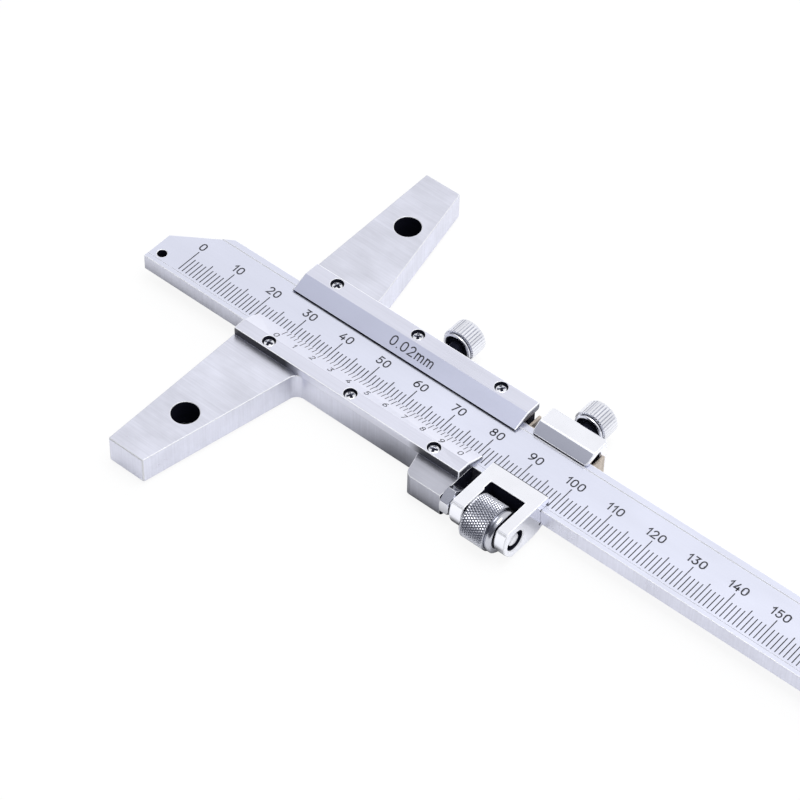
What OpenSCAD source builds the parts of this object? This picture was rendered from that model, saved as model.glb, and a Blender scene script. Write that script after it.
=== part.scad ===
// Vernier depth gauge with a fine-adjust carriage.
// X runs along the beam, away from its tip. Y runs across it, towards the thumb screws.
// Z points out of the scale.
// The origin is the middle of the measuring face, where the beam's centre line passes through it.

/* [Beam] */
// Length of the beam
beam_len = 240; // [225:1:300]
// Width of the beam
beam_w = 16; // [14:0.5:20]
// Thickness of the beam
beam_t = 4; // [3:0.1:5]
// How far the beam's tip stands out of the measuring face, the reading of the gauge
reading = 29.6; // [5:0.1:60]
// Width of the square end of the beam's tip
tip_flat_w = 8; // [4:0.5:12]
// Length over which the tip slopes back to the full width
tip_slope_len = 11.6; // [4:0.2:16]
// Width of the polished land on the vernier side of the scale
land_low_w = 1.2; // [0.8:0.1:1.6]
// Width of the polished land on the thumb-screw side of the scale
land_high_w = 1.6; // [0.8:0.1:2.2]
// Depth of the scale face below its two lands
scale_sink = 0.1; // [0.05:0.01:0.2]
// Diameter of the hang hole in the tip
hang_hole_d = 2.2; // [1.5:0.1:3]
// Distance from the tip to the hang hole
hang_hole_from_tip = 2.5; // [2:0.1:4]
// Distance from the beam's vernier-side edge to the hang hole
hang_hole_from_edge = 2.95; // [2.2:0.05:4]

/* [Base] */
// Length of the base bar, across the beam
base_len = 100; // [80:1:160]
// Width of the base bar at its two ends
base_end_w = 9.3; // [7:0.1:12]
// Width of the base bar where it meets the slider
base_root_w = 17.1; // [14:0.1:20]
// Radius of the corners between base and slider
base_root_r = 2.2; // [1:0.1:5]
// Thickness of metal under the beam
floor_t = 2.5; // [1.6:0.1:4]
// Diameter of the two holes in the base
base_hole_d = 6; // [4:0.1:6.5]
// Distance between the two holes in the base
base_hole_pitch = 70; // [50:1:76]
// Distance from the measuring face to the two holes
base_hole_x = 7.1; // [5:0.1:8]

/* [Slider] */
// Length of the slider
slider_len = 60; // [56:1:80]
// Width of the slider's frame
slider_w = 24.4; // [23.6:0.1:27]
// Running clearance round the beam
run_gap = 0.05; // [0.03:0.01:0.1]
// Width of the slot that holds the slider's gib
slider_slot_w = 1.6; // [1.2:0.05:1.8]
// Distance from the slider's other end to its thumb screw
slider_lock_inset = 24; // [16:0.5:26]

/* [Plates] */
// Thickness of the vernier and guide plates
plate_t = 2; // [1.6:0.1:2.6]
// Width of the flat on the vernier plate
vernier_flat_w = 3.2; // [3:0.1:3.6]
// How far the vernier plate stands out past the frame
vernier_overhang = 0.2; // [0:0.05:0.4]
// How far the vernier plate reaches over the beam
vernier_reach = 3.25; // [2:0.05:4]
// Thickness of the vernier plate at its thin edge
vernier_nose_t = 0.25; // [0.1:0.05:0.4]
// Width of the flat on the guide plate
guide_flat_w = 3.9; // [3.4:0.1:4.4]
// How far the guide plate stands out past the frame
guide_overhang = 0.6; // [0.2:0.05:1]
// How far the guide plate reaches over the beam
guide_reach = 3.1; // [2:0.1:4]
// Thickness of the guide plate at its thin edge
guide_nose_t = 0.3; // [0.1:0.05:0.6]
// Distance that the guide plate stands back from the measuring face
guide_setback = 0.9; // [0:0.1:2]
// How far the guide plate runs past the slider's other end
guide_run_on = 0.6; // [0:0.1:1]
// Chamfer under the guide plate's outer edge
guide_chamfer = 0.5; // [0.1:0.1:0.8]

/* [Plate screws] */
// Distance from the measuring face to the first screw
screw_first_x = 8; // [5:0.5:10]
// Distance from the slider's other end to the last screw
screw_last_inset = 8; // [5:0.5:10]
// Diameter of the screw's thread
screw_d = 1.6; // [1.2:0.1:1.8]
// Diameter of the screw's head
screw_head_d = 2.7; // [2.2:0.1:2.8]
// Height of the screw's head
screw_head_h = 0.65; // [0.4:0.05:0.8]
// Length of the thread below the plate
screw_thread_len = 3; // [2:0.1:4]
// How deep the top of the head lies in the plate
screw_sink = 0.75; // [0.4:0.05:0.8]
// Clearance round the screw's head
screw_head_gap = 0.12; // [0.05:0.01:0.15]
// Width of the cross slot
cross_w = 0.42; // [0.3:0.02:0.6]
// Length of the cross slot
cross_len = 1.9; // [1.4:0.1:2]
// Depth of the cross slot
cross_depth = 0.4; // [0.2:0.05:0.5]
// Turn of the cross slot
cross_turn = 18; // [0:1:89]
// Share of the head's height that is tapered
head_taper = 0.5; // [0.3:0.05:0.7]
// How far the vernier plate's screws lie in from the middle of its flat
screw_shift = 0.3; // [0:0.05:0.35]

/* [Rod and its lug] */
// How far the lug stands out from the frame
lug_reach = 6; // [5.4:0.1:7]
// Length of the lug at its outer side
lug_len = 9; // [8:0.1:12]
// How far the lug's end leans back towards the frame
lug_lean = 1.6; // [0.5:0.1:3]
// Radius of the lug's upright corner
lug_corner_r = 2; // [1:0.1:3]
// Radius along the lug's lower edge
lug_edge_r = 1.5; // [0.5:0.1:2]
// Distance from the beam's edge to the rod's axis
rod_from_beam = 7.85; // [7.6:0.05:8.2]
// Height of the rod's axis above the beam's middle
rod_z = -0.2; // [-0.4:0.05:0.2]
// Diameter of the rod
rod_d = 3; // [2.5:0.1:3.2]
// Depth of the rod in the lug
rod_depth = 7; // [5:0.1:7.5]
// How far the rod's end lies inside the yoke's far leg
rod_inset = 0.9; // [0.2:0.1:1.5]
// Chamfer at the rod's end
rod_chamfer = 0.4; // [0.2:0.05:0.6]
// Width of the rod's lock nut across its flats
lock_nut_af = 5.5; // [5:0.1:6.5]
// Thickness of the rod's lock nut
lock_nut_t = 2.4; // [1.6:0.1:2.4]
// Turn of the lock nut's flats
lock_nut_turn = 0; // [0:1:59]
// Chamfer at the corners of the lock nut, along its axis
lock_nut_chamfer = 0.3; // [0.1:0.05:0.5]
// Clearance of a fixed thread in its hole
thread_gap = 0.02; // [0.01:0.01:0.05]

/* [Carriage] */
// Distance between slider and carriage
carriage_gap = 3.4; // [3.3:0.1:5]
// Length of the carriage
carriage_len = 14; // [13:0.1:18]
// Height of the carriage under the beam's middle
carriage_drop = 4.35; // [4:0.05:4.5]
// Radius of the yoke's round nose
yoke_nose_r = 6; // [5:0.1:8]
// Height of the nose's middle above the rod's axis
yoke_nose_lift = 1; // [0.6:0.1:1.4]
// How far the yoke stands out from the beam's edge
yoke_reach = 11.6; // [11:0.1:13]
// How far the yoke's lip reaches over the beam
yoke_lip_reach = 3.1; // [2:0.1:4]
// Thickness of metal between the carriage's channel and its underside
carriage_floor_t = 1.2; // [1:0.1:1.6]
// Radius of the yoke's heel, under the beam
yoke_heel_r = 6.5; // [6:0.1:8]
// Distance from the beam's edge to where the heel starts to round up
yoke_heel_inset = 3.1; // [2.6:0.1:3.6]
// Thickness of the yoke's leg next to the slider
yoke_leg_near_t = 3.1; // [2.6:0.1:3.4]
// Thickness of the yoke's other leg
yoke_leg_far_t = 2.6; // [2.2:0.1:3]
// Distance from the beam's edge to the bottom of the yoke's window
yoke_web_t = 1.9; // [1.5:0.1:2.2]
// Depth of the step in the window's near side
window_step = 0.3; // [0.1:0.05:0.5]
// Length of that step
window_step_len = 2.3; // [1:0.1:4]
// Diameter of the holes in the yoke's legs
yoke_hole_d = 4.8; // [4.6:0.1:5.2]
// Distance from the beam's edge to the outside of the clamp block
clamp_w = 5.8; // [5.4:0.1:7]
// How far the clamp block's lip reaches over the beam
clamp_lip_reach = 1.5; // [1:0.1:3]
// Width of the flat on top of the clamp block
clamp_flat_w = 4.65; // [4:0.05:5.2]
// Thickness of the carriage's lips at their thin edge
lip_nose_t = 0.4; // [0.2:0.05:0.6]
// Width of the slot that holds the carriage's gib
carriage_slot_w = 3.05; // [2.6:0.05:3.2]
// Height of that slot's roof above the frame's deck
slot_roof_z = 0.9; // [0.4:0.05:1]
// Chamfer between the roof and the slot's outer wall
slot_roof_chamfer = 0.3; // [0.1:0.05:0.5]
// Radius of the clamp block's lower corner
clamp_low_r = 1.6; // [0.8:0.1:2]
// Radius of the clamp block's upper corner
clamp_top_r = 0.6; // [0.2:0.1:1]
// Radius of the carriage's upright corners
carriage_corner_r = 0.9; // [0.4:0.1:1.4]
// Radius of the relief grooves in the channel's corners
relief_r = 0.35; // [0.2:0.05:0.45]

/* [Gibs] */
// Thickness of the slider's gib
slider_gib_t = 0.7; // [0.4:0.05:0.8]
// Distance from each end of the slider to its gib
slider_gib_inset = 3; // [1:0.5:6]
// Thickness of the carriage's gib
carriage_gib_t = 0.6; // [0.4:0.05:0.8]
// Width of the carriage gib's bent ends, from the beam outwards
gib_tab_w = 3.9; // [3.6:0.1:5]
// How far the bent ends hang below the beam's middle
gib_tab_drop = 3.9; // [3:0.1:3.9]
// Height of the carriage's gib above the beam's middle
gib_top = 1.3; // [0.8:0.1:1.7]
// Gap between the carriage and the bent end next to the slider
gib_near_gap = 1.6; // [0.1:0.1:1.8]
// Gap between the carriage and the other bent end
gib_far_gap = 0.05; // [0.02:0.01:0.3]
// Radius of the bends, as a share of the gib's thickness
gib_bend = 0.8; // [0.3:0.1:0.9]

/* [Thumb screws] */
// Diameter of the knurled head
knob_d = 7.8; // [7:0.1:8.4]
// Length of the knurled head
knob_len = 5.3; // [4.5:0.1:7]
// Distance from the frame to the head of the slider's thumb screw
slider_knob_gap = 3.9; // [3:0.1:5]
// Distance from the clamp block to the head of the carriage's thumb screw
carriage_knob_gap = 2.4; // [2:0.1:4]
// Thickness of metal between the head's outer end and its bore
knob_cap_t = 1.2; // [0.8:0.1:2]
// How far the rim and the knurl differ, on the radius
knob_rim_step = 0.15; // [0.05:0.05:0.3]
// Width of the plain rim at the head's inner end
knob_rim_w = 0.6; // [0.4:0.05:1]
// Width of the groove beside the rim
knob_groove_w = 0.4; // [0.3:0.05:0.8]
// Depth of the groove beside the rim
knob_groove_depth = 0.4; // [0.2:0.05:0.6]
// Width of the rim round the recess in the head's inner face
knob_recess_rim = 0.7; // [0.5:0.05:1]
// Depth of that recess
knob_recess_depth = 1; // [0.4:0.1:1.6]
// Number of knurls
knurl_count = 28; // [16:1:36]
// Depth of a knurl
knurl_depth = 0.25; // [0.15:0.05:0.35]
// Chamfer at the head's outer end
knob_chamfer = 0.45; // [0.2:0.05:0.6]
// Diameter of the thumb screw's stud
stud_d = 3; // [2.4:0.1:3]
// Running clearance of the stud and of the fine-adjust nut, on the radius
spin_gap = 0.05; // [0.03:0.01:0.08]
// Gap between the backed-off stud and its gib
stud_gap = 0.1; // [0.05:0.01:0.2]
// Diameter of the nose on the stud
stud_nose_d = 1.4; // [1:0.1:1.6]
// Length of the nose on the stud
stud_nose_len = 0.3; // [0.2:0.05:0.3]
// Clearance round the nose in its seat, on the radius
stud_seat_gap = 0.2; // [0.1:0.05:0.3]

/* [Fine-adjust nut] */
// Diameter of the knurled part
nut_d = 10; // [9:0.1:10.4]
// Diameter of the plain collar
nut_collar_d = 9.4; // [8.4:0.1:9.4]
// Width of the plain collar
nut_collar_w = 1.2; // [0.8:0.1:1.6]
// Width of the groove between knurl and collar
nut_groove_w = 0.3; // [0.2:0.05:0.5]
// Diameter at the bottom of that groove
nut_groove_d = 8.8; // [8:0.1:9]
// Gap between the nut and the yoke's near leg
nut_gap_near = 0.2; // [0.1:0.05:0.4]
// Gap between the nut's collar and the yoke's far leg
nut_gap_far = 0.4; // [0.1:0.05:0.6]
// Chamfer at the nut's ends
nut_chamfer = 0.4; // [0.2:0.05:0.6]

/* [Hidden] */
$fn = 72;
// How much larger than its corner's the circle of a round is
round_over = 1.002;
// Overlap of a cutting tool past the face that it cuts
cut = 1;
// Overlap of two forms that become one
join = 0.1;

// Heights
beam_top = beam_t / 2;
channel_floor = -beam_top - run_gap;
deck = beam_top + run_gap;
base_bottom = channel_floor - floor_t;
plate_top = deck + plate_t;

// Places across the beam
beam_edge = beam_w / 2;
channel_low = -beam_edge - run_gap;
channel_high = beam_edge + run_gap;
frame_side = slider_w / 2;
vernier_outer = -frame_side - vernier_overhang;
vernier_inner = -beam_edge + vernier_reach;
guide_outer = frame_side + guide_overhang;
guide_inner = beam_edge - guide_reach;
vernier_screw_y = vernier_outer + vernier_flat_w / 2 + screw_shift;
guide_screw_y = channel_high + slider_slot_w + (frame_side - channel_high - slider_slot_w) / 2;
rod_y = -beam_edge - rod_from_beam;
yoke_nose_y = -beam_edge - yoke_reach + yoke_nose_r;
yoke_nose_z = rod_z + yoke_nose_lift;
yoke_lip_y = -beam_edge + yoke_lip_reach;
yoke_heel_y = -beam_edge - yoke_heel_inset;
clamp_outer = beam_edge + clamp_w;
clamp_lip_y = beam_edge - clamp_lip_reach;
carriage_wall_y = channel_high + carriage_slot_w;
slider_gib_face = channel_high + slider_gib_t;
carriage_gib_face = channel_high + carriage_gib_t;

// Places along the beam
tip_x = -reading;
carriage_x = slider_len + carriage_gap;
carriage_end = carriage_x + carriage_len;
window_x = carriage_x + yoke_leg_near_t;
window_end = carriage_end - yoke_leg_far_t;
nut_x = window_x + nut_gap_near;
nut_end = window_end - nut_gap_far;
rod_end = carriage_end - rod_inset;
carriage_lock_x = carriage_x + carriage_len / 2;
slider_lock_x = slider_len - slider_lock_inset;
screw_pitch = (slider_len - screw_first_x - screw_last_inset) / 2;
screw_xs = [for (i = [0:2]) screw_first_x + i * screw_pitch];

// Colours
ground_steel = [0.80, 0.81, 0.86];
satin_chrome = [0.86, 0.87, 0.92];
bright_chrome = [0.92, 0.93, 0.97];
bronze = [0.72, 0.68, 0.62];

function unit(v) = v / norm(v);
// The point at distance d from corner b along the side towards a
function along(b, a, d) = b + unit(a - b) * d;
// Half the angle of the corner a-b-c
function half_angle(a, b, c) = acos(unit(a - b) * unit(c - b)) / 2;

// Extrudes an outline drawn in (Y, Z) along X
module along_x(x, len) {
    translate([x, 0, 0]) rotate([90, 0, 90]) linear_extrude(len) children();
}

// A round bar along X
module bar_x(x, y, z, d, len) {
    translate([x, y, z]) rotate([0, 90, 0]) cylinder(d = d, h = len);
}

// A round bar along Y
module bar_y(x, y, z, d, len) {
    translate([x, y, z]) rotate([-90, 0, 0]) cylinder(d = d, h = len);
}

// The middle of the round of radius r in the corner a-b-c
function round_middle(a, b, c, r) = b + unit(unit(a - b) + unit(c - b)) * r / sin(half_angle(a, b, c));

// The sharp part of the corner a-b-c, past its round: cut off an outer corner, or added in an inner one.
// The circle is a hair larger than the round, so that it crosses both sides instead of just touching them.
module corner_piece(a, b, c, r) {
    m = round_middle(a, b, c, r);
    reach = r / tan(half_angle(a, b, c));
    difference() {
        polygon([b + (b - m) * 0.3, along(b, a, reach), m, along(b, c, reach)]);
        translate(m) circle(r * round_over);
    }
}

// The same for a square corner; sx and sy point from it into the body
module square_corner_piece(at, r, sx, sy) {
    corner_piece(at + [sx, 0], at, at + [0, sy], r);
}

// Half of the base bar and slider in plan; s is the side, -1 or 1
module base_half(s) {
    side = s * frame_side;
    root = [base_root_w, side];
    end = [base_end_w, s * base_len / 2];
    m = round_middle(end, root, root + [1, 0], base_root_r);
    difference() {
        union() {
            polygon([
                [0, -s], [0, end[1]], end, root, [slider_len, side], [slider_len, -s]
            ]);
            polygon([root - [1, s], along(root, end, 2), m, root + [2, 0]]);
        }
        translate(m) circle(base_root_r * round_over);
    }
}

// The block at the slider's end that the fine-adjust rod is screwed into
module lug_block() {
    outer = -frame_side - lug_reach;
    corner = [slider_len - lug_len, outer];
    root = corner + [-lug_lean, lug_reach];
    difference() {
        translate([0, 0, base_bottom]) linear_extrude(deck - base_bottom) difference() {
            polygon([root + [0, 1], root, corner, [slider_len, outer], [slider_len, root[1] + 1]]);
            corner_piece(root, corner, corner + [1, 0], lug_corner_r);
        }
        along_x(root[0] - cut, lug_len + lug_lean + 2 * cut)
            square_corner_piece([outer, base_bottom], lug_edge_r, 1, 1);
    }
}

module base_frame() {
    color(ground_steel) difference() {
        union() {
            for (s = [-1, 1]) translate([0, 0, base_bottom]) linear_extrude(deck - base_bottom) base_half(s);
            lug_block();
        }
        along_x(-cut, slider_len + 2 * cut)
            translate([channel_low, channel_floor])
            square([channel_high + slider_slot_w - channel_low, deck - channel_floor + cut]);
        for (s = [-1, 1])
            translate([base_hole_x, s * base_hole_pitch / 2, base_bottom - cut])
                cylinder(d = base_hole_d, h = deck - base_bottom + 2 * cut);
        for (x = screw_xs, y = [vernier_screw_y, guide_screw_y])
            translate([x, y, deck - screw_thread_len - thread_gap])
                cylinder(d = screw_d + 2 * thread_gap, h = screw_thread_len + cut);
        bar_y(slider_lock_x, channel_high, 0, stud_d + 2 * spin_gap, frame_side);
        bar_x(slider_len - rod_depth - thread_gap, rod_y, rod_z, rod_d + 2 * thread_gap, rod_depth + cut);
    }
}

module beam() {
    color(satin_chrome) difference() {
        translate([tip_x, 0, -beam_top]) linear_extrude(beam_t) polygon([
            [0, -beam_edge], [beam_len, -beam_edge], [beam_len, beam_edge],
            [tip_slope_len, beam_edge], [0, -beam_edge + tip_flat_w]
        ]);
        translate([tip_x - cut, -beam_edge + land_low_w, beam_top - scale_sink])
            cube([beam_len + 2 * cut, beam_w - land_low_w - land_high_w, cut]);
        translate([tip_x + hang_hole_from_tip, -beam_edge + hang_hole_from_edge, -beam_top - cut])
            cylinder(d = hang_hole_d, h = beam_t + 2 * cut);
    }
}

// Counterbores and clearance holes for one row of plate screws
module screw_seats(y) {
    for (x = screw_xs) {
        translate([x, y, plate_top - screw_sink - screw_head_h])
            cylinder(d = screw_head_d + 2 * screw_head_gap, h = plate_t);
        translate([x, y, deck - cut])
            cylinder(d = screw_d + 2 * screw_head_gap, h = plate_t);
    }
}

module vernier_plate() {
    color(bright_chrome) difference() {
        along_x(0, slider_len) polygon([
            [vernier_outer, deck], [vernier_outer, plate_top],
            [vernier_outer + vernier_flat_w, plate_top],
            [vernier_inner, deck + vernier_nose_t], [vernier_inner, deck]
        ]);
        screw_seats(vernier_screw_y);
    }
}

module guide_plate() {
    color(satin_chrome) difference() {
        along_x(guide_setback, slider_len - guide_setback + guide_run_on) polygon([
            [guide_inner, deck], [guide_inner, deck + guide_nose_t],
            [guide_outer - guide_flat_w, plate_top], [guide_outer, plate_top],
            [guide_outer, deck + guide_chamfer], [guide_outer - guide_chamfer, deck]
        ]);
        screw_seats(guide_screw_y);
    }
}

module plate_screw(x, y) {
    head_z = plate_top - screw_sink - screw_head_h;
    taper = screw_head_h * head_taper;
    color(bright_chrome) translate([x, y, 0]) difference() {
        union() {
            translate([0, 0, head_z]) cylinder(d = screw_head_d, h = screw_head_h - taper);
            translate([0, 0, head_z + screw_head_h - taper])
                cylinder(d1 = screw_head_d, d2 = screw_head_d - 2 * taper, h = taper);
            translate([0, 0, deck - screw_thread_len])
                cylinder(d = screw_d, h = head_z - deck + screw_thread_len + join);
        }
        for (turn = [0, 90])
            rotate(cross_turn + turn)
                translate([-cross_len / 2, -cross_w / 2, head_z + screw_head_h - cross_depth])
                cube([cross_len, cross_w, cut]);
    }
}

// The seat that a stud's nose finds in the outer face of a gib
module gib_dimple(x, face_y) {
    bar_y(x, face_y - stud_nose_len, 0, stud_nose_d + 2 * stud_seat_gap, cut);
}

module slider_gib() {
    color(bronze) difference() {
        translate([slider_gib_inset, channel_high, channel_floor + run_gap])
            cube([slider_len - 2 * slider_gib_inset, slider_gib_t, beam_t - run_gap]);
        gib_dimple(slider_lock_x, slider_gib_face);
    }
}

// A bent strip: a flat along the beam's edge and an end hooked round each end of the carriage
module carriage_gib() {
    near = carriage_x - gib_near_gap - carriage_gib_t;
    far = carriage_end + gib_far_gap + carriage_gib_t;
    color(bronze) difference() {
        union() {
            translate([near, channel_high, channel_floor + run_gap])
                cube([far - near, carriage_gib_t, gib_top - channel_floor - run_gap]);
            for (x = [near, far - carriage_gib_t])
                translate([x, channel_high, -gib_tab_drop])
                    cube([carriage_gib_t, gib_tab_w, gib_tab_drop + gib_top]);
        }
        for (bend = [[near, 1], [far, -1]])
            translate([0, 0, -beam_t * 2]) linear_extrude(beam_t * 4)
                square_corner_piece([bend[0], channel_high], carriage_gib_t * gib_bend, bend[1], 1);
        gib_dimple(carriage_lock_x, carriage_gib_face);
    }
}

// The threaded stud of a thumb screw, from its nose on the gib to its seat in the head
module lock_stud(x, gib_face, head_y) {
    tip_y = gib_face + stud_gap;
    color(bright_chrome) {
        bar_y(x, tip_y, 0, stud_d, head_y + knob_len - knob_cap_t - tip_y);
        bar_y(x, tip_y - stud_nose_len, 0, stud_nose_d, stud_nose_len + join);
    }
}

// The outline of a straight knurl: flat-topped ridges with V grooves between them
module knurl_outline(d, count, depth) {
    step = 360 / count;
    r = d / 2;
    ridge = 0.56;
    groove = (1 + ridge) / 2;
    polygon([for (i = [0:count - 1], p = [[0, r], [ridge, r], [groove, r - depth]])
        [cos((i + p[0]) * step), sin((i + p[0]) * step)] * p[1]]);
}

module lock_knob(x, y) {
    barrel_y = knob_rim_w + knob_groove_w;
    color(bright_chrome) translate([x, y, 0]) rotate([-90, 0, 0]) difference() {
        union() {
            cylinder(d = knob_d - 2 * knob_rim_step, h = knob_rim_w);
            cylinder(d = knob_d - 2 * knob_groove_depth, h = barrel_y + join);
            intersection() {
                translate([0, 0, barrel_y]) linear_extrude(knob_len - barrel_y)
                    knurl_outline(knob_d, knurl_count, knurl_depth);
                rotate_extrude() polygon([
                    [0, 0], [knob_d / 2, 0], [knob_d / 2, knob_len - knob_chamfer],
                    [knob_d / 2 - knob_chamfer, knob_len], [0, knob_len]
                ]);
            }
        }
        translate([0, 0, -cut]) cylinder(d = knob_d - 2 * knob_recess_rim, h = knob_recess_depth + cut);
        translate([0, 0, -cut]) cylinder(d = stud_d, h = knob_len - knob_cap_t + cut);
    }
}

module fine_adjust_rod() {
    color(bright_chrome) {
        bar_x(slider_len - rod_depth, rod_y, rod_z, rod_d, rod_end - rod_chamfer - slider_len + rod_depth);
        translate([rod_end - rod_chamfer, rod_y, rod_z]) rotate([0, 90, 0])
            cylinder(d1 = rod_d, d2 = rod_d - 2 * rod_chamfer, h = rod_chamfer);
    }
}

module rod_lock_nut() {
    corner = lock_nut_af / cos(30) / 2;
    face = corner - lock_nut_chamfer * tan(60);
    color(bright_chrome) translate([slider_len, rod_y, rod_z]) rotate([0, 90, 0]) difference() {
        intersection() {
            rotate(lock_nut_turn) cylinder(r = corner, h = lock_nut_t, $fn = 6);
            rotate_extrude() polygon([
                [0, 0], [face, 0], [corner, lock_nut_chamfer],
                [corner, lock_nut_t - lock_nut_chamfer], [face, lock_nut_t], [0, lock_nut_t]
            ]);
        }
        translate([0, 0, -cut]) cylinder(d = rod_d + 2 * thread_gap, h = lock_nut_t + 2 * cut);
    }
}

module fine_adjust_nut() {
    len = nut_end - nut_x;
    collar = len - nut_collar_w;
    knurl_end = collar - nut_groove_w;
    color(bright_chrome) translate([nut_x, rod_y, rod_z]) rotate([0, 90, 0]) difference() {
        rotate_extrude() polygon([
            [0, 0], [nut_d / 2 - nut_chamfer, 0], [nut_d / 2, nut_chamfer], [nut_d / 2, knurl_end],
            [nut_groove_d / 2, knurl_end], [nut_groove_d / 2, collar], [nut_collar_d / 2, collar],
            [nut_collar_d / 2, len - nut_chamfer / 2], [nut_collar_d / 2 - nut_chamfer / 2, len], [0, len]
        ]);
        translate([0, 0, -cut]) cylinder(d = rod_d + 2 * spin_gap, h = len + 2 * cut);
    }
}

// The yoke's side of the carriage: a round nose outside, and a heel that rounds up towards the beam
module yoke_block() {
    top = plate_top + carriage_drop;
    intersection() {
        translate([carriage_x, -beam_edge - yoke_reach - cut, -carriage_drop])
            cube([carriage_len, yoke_reach + cut - yoke_heel_inset, top]);
        union() {
            bar_x(carriage_x, yoke_nose_y, yoke_nose_z, 2 * yoke_nose_r, carriage_len);
            translate([carriage_x, yoke_nose_y, -carriage_drop]) cube([carriage_len, -yoke_nose_y, top]);
        }
    }
    intersection() {
        translate([carriage_x, yoke_heel_y - 1, -carriage_drop]) cube([carriage_len, yoke_heel_r, top]);
        bar_x(carriage_x, yoke_heel_y, yoke_heel_r - carriage_drop, 2 * yoke_heel_r, carriage_len);
    }
    along_x(carriage_x, carriage_len) polygon([
        [yoke_heel_y - 1, -1], [yoke_heel_y - 1, plate_top], [-beam_edge, plate_top],
        [yoke_lip_y, deck + lip_nose_t], [yoke_lip_y, -1]
    ]);
}

module clamp_block() {
    along_x(carriage_x, carriage_len) difference() {
        polygon([
            [clamp_lip_y, channel_floor], [clamp_lip_y, deck + lip_nose_t],
            [clamp_outer - clamp_flat_w, plate_top], [clamp_outer, plate_top], [clamp_outer, -carriage_drop],
            [channel_high + carriage_slot_w / 2, -carriage_drop],
            [channel_high, channel_floor - carriage_floor_t]
        ]);
        square_corner_piece([clamp_outer, -carriage_drop], clamp_low_r, -1, 1);
        square_corner_piece([clamp_outer, plate_top], clamp_top_r, -1, -1);
    }
}

module carriage() {
    hole_rim = 0.25;
    color(bright_chrome) difference() {
        union() {
            yoke_block();
            clamp_block();
            translate([carriage_x, yoke_heel_y, channel_floor - carriage_floor_t])
                cube([carriage_len, carriage_wall_y - yoke_heel_y + 1, carriage_floor_t + beam_top]);
        }
        // the beam's channel, with a relief groove in each corner on the yoke's side
        along_x(carriage_x - cut, carriage_len + 2 * cut) {
            translate([channel_low, channel_floor]) square([channel_high - channel_low, deck - channel_floor]);
            for (z = [channel_floor, deck]) translate([channel_low, z]) circle(relief_r);
        }
        // the slot for the gib, with a roof that leans with the bevel
        along_x(carriage_x - cut, carriage_len + 2 * cut) polygon([
            [channel_high - 1, channel_floor], [channel_high - 1, deck], [channel_high, deck],
            [carriage_wall_y - slot_roof_chamfer, deck + slot_roof_z],
            [carriage_wall_y, deck + slot_roof_z - slot_roof_chamfer], [carriage_wall_y, channel_floor]
        ]);
        // the yoke's window
        translate([window_x, -beam_edge - yoke_reach - cut, -carriage_drop - cut])
            cube([window_end - window_x, yoke_reach - yoke_web_t + cut, carriage_drop + plate_top + 2 * cut]);
        translate([window_x - window_step, -beam_edge - yoke_web_t - window_step_len, -carriage_drop - cut])
            cube([window_step + cut, window_step_len, carriage_drop + plate_top + 2 * cut]);
        // the rod's holes and their broken edges
        bar_x(carriage_x - cut, rod_y, rod_z, yoke_hole_d, carriage_len + 2 * cut);
        translate([carriage_end - hole_rim, rod_y, rod_z]) rotate([0, 90, 0])
            cylinder(d1 = yoke_hole_d, d2 = yoke_hole_d + 2 * hole_rim + 0.02, h = hole_rim + 0.01);
        bar_y(carriage_lock_x, channel_high, 0, stud_d + 2 * spin_gap, clamp_w + cut);
        // the upright corners of the lips and of the clamp block
        for (end = [[carriage_x, 1], [carriage_end, -1]]) {
            translate([0, 0, deck - run_gap]) linear_extrude(plate_t + cut) {
                square_corner_piece([end[0], yoke_lip_y], carriage_corner_r, end[1], -1);
                square_corner_piece([end[0], clamp_lip_y], carriage_corner_r, end[1], 1);
            }
            translate([0, 0, -carriage_drop - cut]) linear_extrude(carriage_drop + plate_top + 2 * cut)
                square_corner_piece([end[0], clamp_outer], carriage_corner_r, end[1], -1);
        }
    }
}

base_frame();
beam();
vernier_plate();
guide_plate();
plate_screw(screw_xs[0], vernier_screw_y);  // vernier_plate_screw_1
plate_screw(screw_xs[1], vernier_screw_y);  // vernier_plate_screw_2
plate_screw(screw_xs[2], vernier_screw_y);  // vernier_plate_screw_3
plate_screw(screw_xs[0], guide_screw_y);  // guide_plate_screw_1
plate_screw(screw_xs[1], guide_screw_y);  // guide_plate_screw_2
plate_screw(screw_xs[2], guide_screw_y);  // guide_plate_screw_3
slider_gib();
lock_stud(slider_lock_x, slider_gib_face, frame_side + slider_knob_gap);  // slider_lock_stud
lock_knob(slider_lock_x, frame_side + slider_knob_gap);  // slider_lock_knob
fine_adjust_rod();
rod_lock_nut();
fine_adjust_nut();
carriage();
carriage_gib();
lock_stud(carriage_lock_x, carriage_gib_face, clamp_outer + carriage_knob_gap);  // carriage_lock_stud
lock_knob(carriage_lock_x, clamp_outer + carriage_knob_gap);  // carriage_lock_knob
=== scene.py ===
"""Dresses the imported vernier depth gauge: broken edges, engraved scales, knurls, threads and finishes."""

import math

import bmesh
import bpy
from mathutils import Matrix, Vector


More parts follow.
